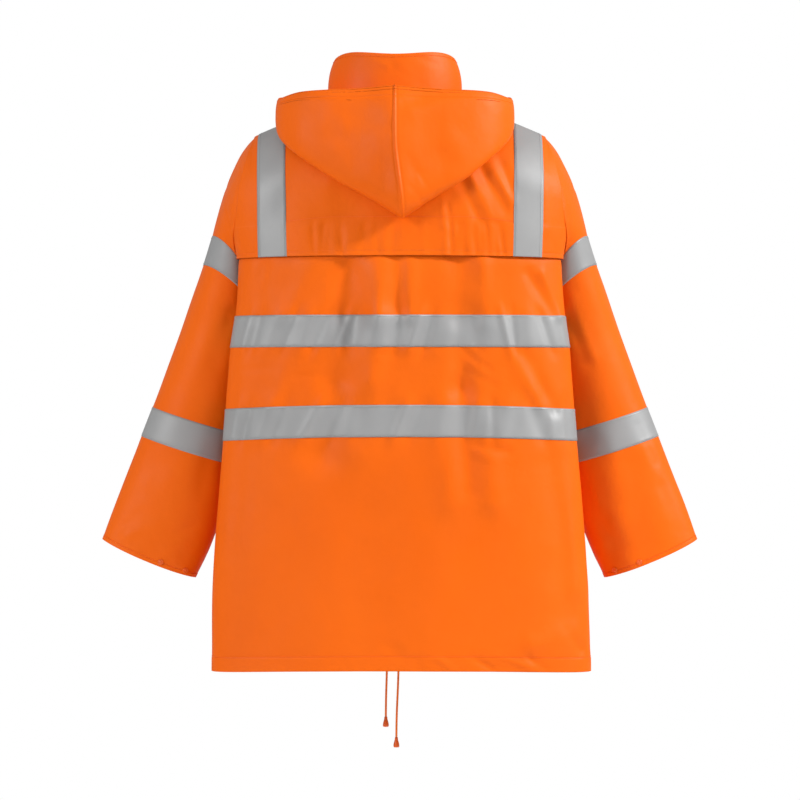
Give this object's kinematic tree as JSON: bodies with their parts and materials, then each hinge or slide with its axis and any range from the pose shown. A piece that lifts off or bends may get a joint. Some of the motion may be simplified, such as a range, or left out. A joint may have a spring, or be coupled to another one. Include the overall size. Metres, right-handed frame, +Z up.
{
  "type": "work jacket",
  "caption": "Hi-vis rain work jacket with a stand collar, a hood folded down the back, an overlapping back yoke, reflective bands, a front zip and hem drawcords.",
  "frame": {"origin": "centre of the neck opening at the level of the shoulders, where a wearer or a form holds the jacket", "axes": "+Z up; -Y the way the wearer faces, so +Y is out of the back; +X to the wearer's left"},
  "size_m": [0.9622, 0.3195, 1.1283],
  "materials": {
    "shell": "coated woven cloth, satin",
    "reflective_tape": "silver-grey reflective tape, satin",
    "zip_tape": "woven tape",
    "zip_plastic": "moulded, satin",
    "zip_metal": "painted or plated metal, satin",
    "stud_plastic": "moulded, satin",
    "eyelet_metal": "plated, satin",
    "cord": "braided cord",
    "cord_end": "moulded, satin"
  },
  "bodies": {
    "jacket": {"back_panel": "shell", "back_yoke": "shell", "front_left": "shell", "front_right": "shell", "sleeve_left": "shell", "sleeve_right": "shell", "collar": "shell", "hood_left": "shell", "hood_right": "shell", "chest_tape_back": "reflective_tape", "chest_tape_front_left": "reflective_tape", "chest_tape_front_right": "reflective_tape", "waist_tape_back": "reflective_tape", "waist_tape_front_left": "reflective_tape", "waist_tape_front_right": "reflective_tape", "shoulder_tape_left": "reflective_tape", "shoulder_tape_right": "reflective_tape", "sleeve_tape_upper_left": "reflective_tape", "sleeve_tape_upper_right": "reflective_tape", "sleeve_tape_lower_left": "reflective_tape", "sleeve_tape_lower_right": "reflective_tape", "zip_tape_left": "zip_tape", "zip_tape_right": "zip_tape", "zip_chain": "zip_plastic", "zip_bottom_box": "zip_plastic", "zip_slider": "zip_metal", "cuff_stud_left_1": "stud_plastic", "cuff_stud_left_2": "stud_plastic", "cuff_stud_right_1": "stud_plastic", "cuff_stud_right_2": "stud_plastic", "hem_eyelet_left": "eyelet_metal", "hem_eyelet_right": "eyelet_metal", "drawcord_left": "cord", "drawcord_right": "cord", "cord_end_left": "cord_end", "cord_end_right": "cord_end"},
    "pull": {"zip_pull": "zip_metal"}
  },
  "joints": [
    {"name": "zip_pull_hinge", "type": "hinge", "parent": "jacket", "child": "pull", "pos_m": [0.008, -0.09099, 0.0394], "axis": [-1, 0, 0], "range_deg": [0, 150]}
  ]
}
